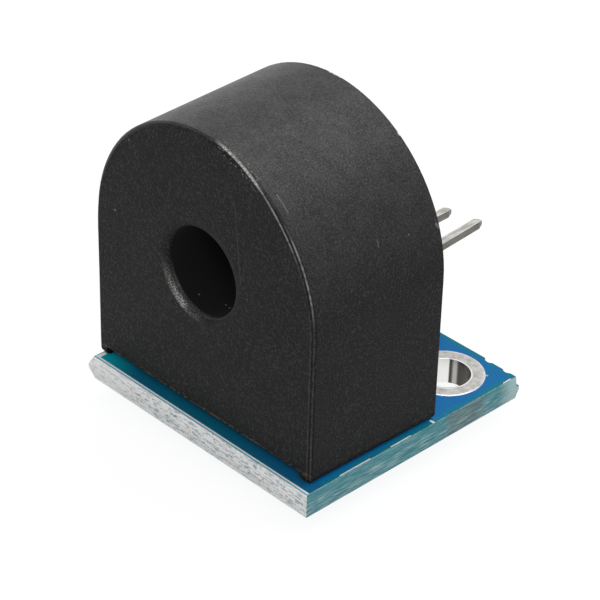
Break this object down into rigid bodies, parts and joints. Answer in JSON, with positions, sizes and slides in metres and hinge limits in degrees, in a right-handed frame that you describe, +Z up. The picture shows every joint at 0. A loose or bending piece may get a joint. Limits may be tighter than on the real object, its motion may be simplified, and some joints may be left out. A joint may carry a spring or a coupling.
{
  "type": "current sensor",
  "caption": "Small through-bore current transformer: arch-shaped black moulded case on a blue circuit board with plated mounting holes and rearward header pins.",
  "frame": {"origin": "midway between the two mounting holes, on the underside of the circuit board", "axes": "+X to the right seen from the closed front of the case, +Y through the bore to the rear, where the header pins point, +Z up from the board to the top of the arch"},
  "size_m": [0.0189, 0.0223, 0.0216],
  "materials": {
    "board": "blue solder mask over glass laminate, snapped edges pale",
    "tinned": "tin plating over copper",
    "case_black": "black moulded plastic, fine grain",
    "resin": "black cast resin",
    "core": "strip-wound magnetic alloy",
    "coating": "epoxy coating",
    "copper_wire": "enamelled copper wire",
    "tape": "polyester tape",
    "sleeve": "sleeved winding lead",
    "solder": "tin solder, satin to bright",
    "pin_metal": "tinned brass wire",
    "header_black": "black moulded insulator",
    "ceramic": "white alumina",
    "glaze": "dark protective glaze"
  },
  "bodies": {
    "root": {"circuit_board": "board", "mounting_ring_left": "tinned", "mounting_ring_right": "tinned", "transformer_case": "case_black", "toroid_core": "core", "core_insulation": "coating", "secondary_winding": "copper_wire", "winding_tape": "tape", "terminal_pin_left": "pin_metal", "terminal_pin_right": "pin_metal", "winding_lead_left": "sleeve", "winding_lead_right": "sleeve", "lead_solder_left": "solder", "lead_solder_right": "solder", "potting_fill": "resin", "terminal_pad_left": "tinned", "terminal_solder_left": "solder", "terminal_pad_right": "tinned", "terminal_solder_right": "solder", "header_pad_left": "tinned", "header_solder_left": "solder", "header_pad_right": "tinned", "header_solder_right": "solder", "header_block": "header_black", "header_pin_left": "pin_metal", "header_pin_right": "pin_metal", "resistor_body": "ceramic", "resistor_glaze": "glaze", "resistor_cap_left": "tinned", "resistor_cap_right": "tinned", "resistor_pad_left": "tinned", "resistor_pad_right": "tinned", "resistor_solder_left": "solder", "resistor_solder_right": "solder"}
  },
  "joints": []
}
